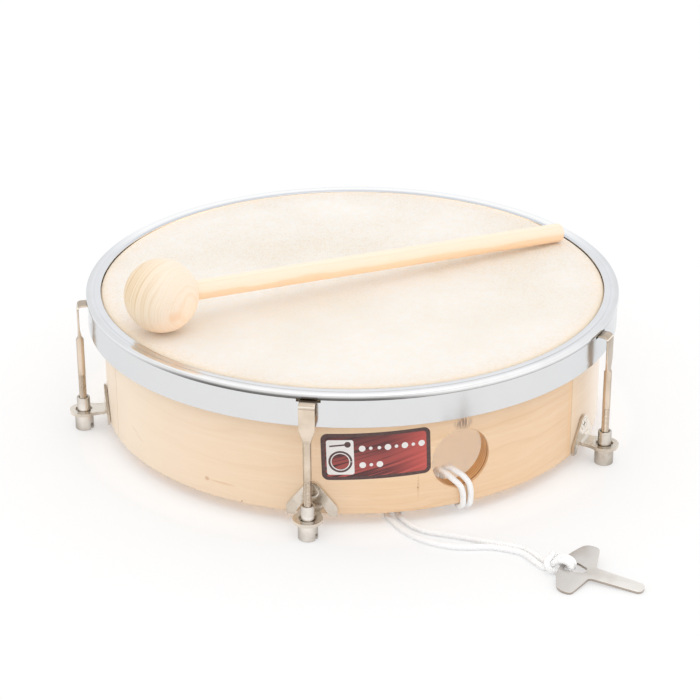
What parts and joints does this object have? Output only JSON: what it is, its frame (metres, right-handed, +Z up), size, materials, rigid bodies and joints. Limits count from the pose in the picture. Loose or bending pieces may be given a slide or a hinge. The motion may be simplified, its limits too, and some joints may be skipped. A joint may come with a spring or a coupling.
{
  "type": "hand drum",
  "caption": "Small tunable hand drum with a wooden shell, skin head and metal counterhoop on hook bolts, a wooden ball beater and a tuning key on a doubled cord",
  "frame": {"origin": "on the ground under the centre of the drum's bounding box, cord and key left out", "axes": "+Z up through the head, -Y towards the front hook, +X to the right of it; the thumb hole is at +X -Y"},
  "size_m": [0.2962, 0.3083, 0.1086],
  "materials": {
    "shell_wood": "clear-lacquered pale bent wood",
    "beater_wood": "pale turned wood, satin",
    "skin": "mottled cream skin, matte",
    "hoop_steel": "plain steel",
    "chrome": "bright plated",
    "nickel": "warm nickel plate, slightly worn",
    "white_cord": "white braid"
  },
  "bodies": {
    "drum": {"shell": "shell_wood", "drum_head": "skin", "flesh_hoop": "hoop_steel", "bracket_1": "nickel", "bracket_2": "nickel", "bracket_3": "nickel", "bracket_4": "nickel", "bracket_5": "nickel", "bracket_screw_1": "nickel", "bracket_screw_2": "nickel", "bracket_screw_3": "nickel", "bracket_screw_4": "nickel", "bracket_screw_5": "nickel", "tuning_key": "nickel", "cord_near": "white_cord", "cord_far": "white_cord"},
    "hoop_and_hooks": {"counterhoop": "chrome", "tension_hook_1": "nickel", "tension_hook_2": "nickel", "tension_hook_3": "nickel", "tension_hook_4": "nickel", "tension_hook_5": "nickel"},
    "beater": {"beater_ball": "beater_wood", "beater_stick": "beater_wood"},
    "nut_1": {"tension_nut_1": "nickel"},
    "nut_2": {"tension_nut_2": "nickel"},
    "nut_3": {"tension_nut_3": "nickel"},
    "nut_4": {"tension_nut_4": "nickel"},
    "nut_5": {"tension_nut_5": "nickel"}
  },
  "joints": [
    {"name": "counterhoop_lift", "type": "slide", "parent": "drum", "child": "hoop_and_hooks", "axis": [0, 0, 1], "range_m": [0, 0.006]},
    {"name": "nut_turn_1", "type": "hinge", "parent": "drum", "child": "nut_1", "pos_m": [0, -0.1337, 0], "axis": [0, 0, 1], "range_deg": [-3090, 0]},
    {"name": "nut_turn_2", "type": "hinge", "parent": "drum", "child": "nut_2", "pos_m": [0.13258, -0.03738, 0], "axis": [0, 0, 1], "range_deg": [-3090, 0]},
    {"name": "nut_turn_3", "type": "hinge", "parent": "drum", "child": "nut_3", "pos_m": [0.08194, 0.11848, 0], "axis": [0, 0, 1], "range_deg": [-3090, 0]},
    {"name": "nut_turn_4", "type": "hinge", "parent": "drum", "child": "nut_4", "pos_m": [-0.08194, 0.11848, 0], "axis": [0, 0, 1], "range_deg": [-3090, 0]},
    {"name": "nut_turn_5", "type": "hinge", "parent": "drum", "child": "nut_5", "pos_m": [-0.13258, -0.03738, 0], "axis": [0, 0, 1], "range_deg": [-3090, 0]},
    {"name": "beater_lift", "type": "slide", "parent": "drum", "child": "beater", "axis": [0, 0, 1], "range_m": [0, 0.15]}
  ],
  "couplings": [
    {"joint": "nut_turn_1", "follows": "counterhoop_lift", "rad_per_m": -8976},
    {"joint": "nut_turn_2", "follows": "counterhoop_lift", "rad_per_m": -8976},
    {"joint": "nut_turn_3", "follows": "counterhoop_lift", "rad_per_m": -8976},
    {"joint": "nut_turn_4", "follows": "counterhoop_lift", "rad_per_m": -8976},
    {"joint": "nut_turn_5", "follows": "counterhoop_lift", "rad_per_m": -8976}
  ]
}
